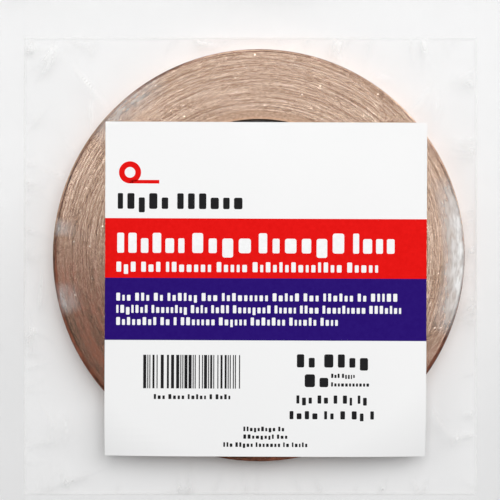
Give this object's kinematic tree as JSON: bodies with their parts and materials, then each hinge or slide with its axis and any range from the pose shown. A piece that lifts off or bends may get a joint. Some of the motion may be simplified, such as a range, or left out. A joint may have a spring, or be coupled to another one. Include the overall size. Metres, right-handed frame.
{
  "type": "copper foil tape roll",
  "caption": "Flat roll of adhesive copper foil tape on a paperboard core, sealed in a clear square pouch with a paper label on its face.",
  "frame": {"origin": "on the roll's axis, at the underside of the pouch", "axes": "+Z along the roll's axis, out of the labelled face; +Y towards the top of the label; +X to the right when reading the label"},
  "size_m": [0.146, 0.146, 0.0072],
  "materials": {
    "core_board": "matt grey-brown chipboard",
    "core_paper": "smooth uncoated paper ply",
    "tape_edge": "slit edges of copper foil between brown paper liner",
    "copper_foil": "bright rolled copper",
    "adhesive": "clear acrylic adhesive",
    "liner_paper": "brown kraft release paper",
    "film": "clear glossy polyethylene film",
    "seal": "fused film, slightly hazy",
    "label_paper": "semi-gloss white paper with printed red and violet bands"
  },
  "bodies": {
    "pouch": {"pouch_back_film": "film", "pouch_front_film": "film", "seal_left": "seal", "seal_right": "seal", "seal_bottom": "seal", "seal_top": "seal", "label_adhesive": "adhesive", "label_paper": "label_paper"},
    "roll": {"core_inner_ply": "core_paper", "core_board": "core_board", "core_outer_ply": "core_paper", "wound_tape": "tape_edge", "outer_turn_liner": "liner_paper", "outer_turn_adhesive": "adhesive", "outer_turn_foil": "copper_foil"}
  },
  "joints": [
    {"name": "roll_spin", "type": "hinge", "parent": "pouch", "child": "roll", "pos_m": [0, 0, 0.00349], "axis": [0, 0, 1], "continuous": true}
  ]
}
